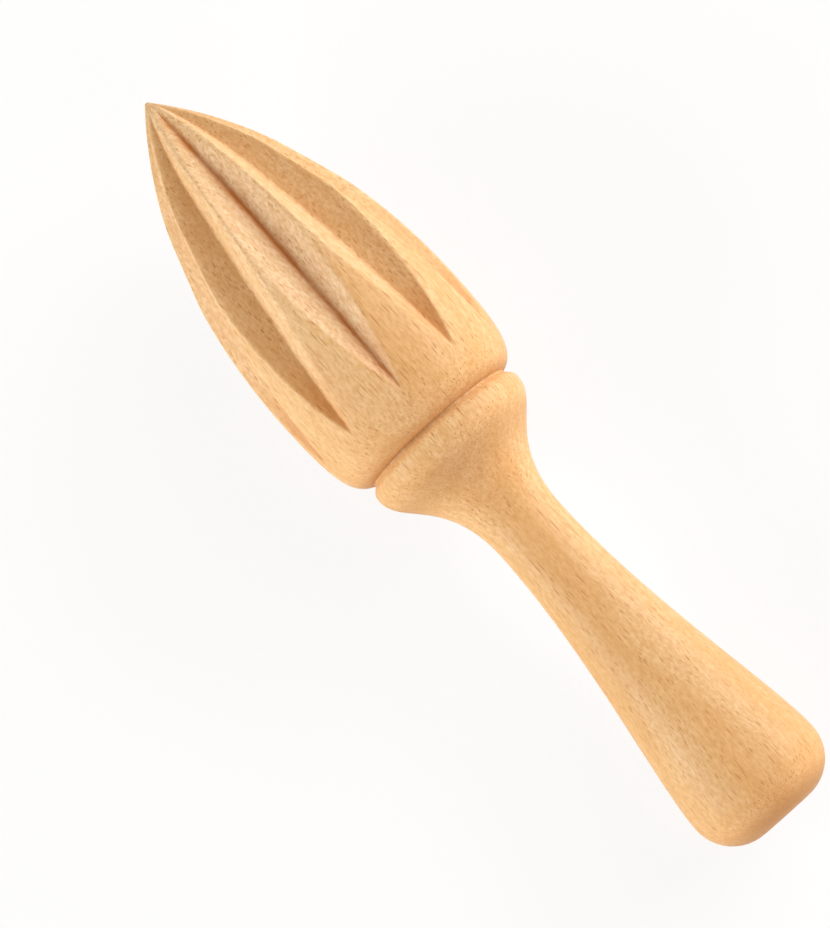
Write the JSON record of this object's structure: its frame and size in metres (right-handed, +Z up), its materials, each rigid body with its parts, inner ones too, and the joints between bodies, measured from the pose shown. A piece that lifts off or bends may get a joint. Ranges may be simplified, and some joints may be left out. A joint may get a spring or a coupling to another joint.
{
  "type": "wooden citrus reamer",
  "caption": "Hand citrus reamer turned from one piece of pale beech: pointed fluted head, grooved collar, thin waist and flared handle with a rounded butt.",
  "frame": {"origin": "on the ground under the middle of the object's length and width, lying on its side", "axes": "+X towards the pointed end of the head, +Z up; the turning axis lies in the XZ plane and rises about 4 degrees towards the point"},
  "size_m": [0.16, 0.0382, 0.0383],
  "materials": {
    "beech": "sanded, unvarnished"
  },
  "bodies": {
    "root": {"reamer": "beech"}
  },
  "joints": []
}
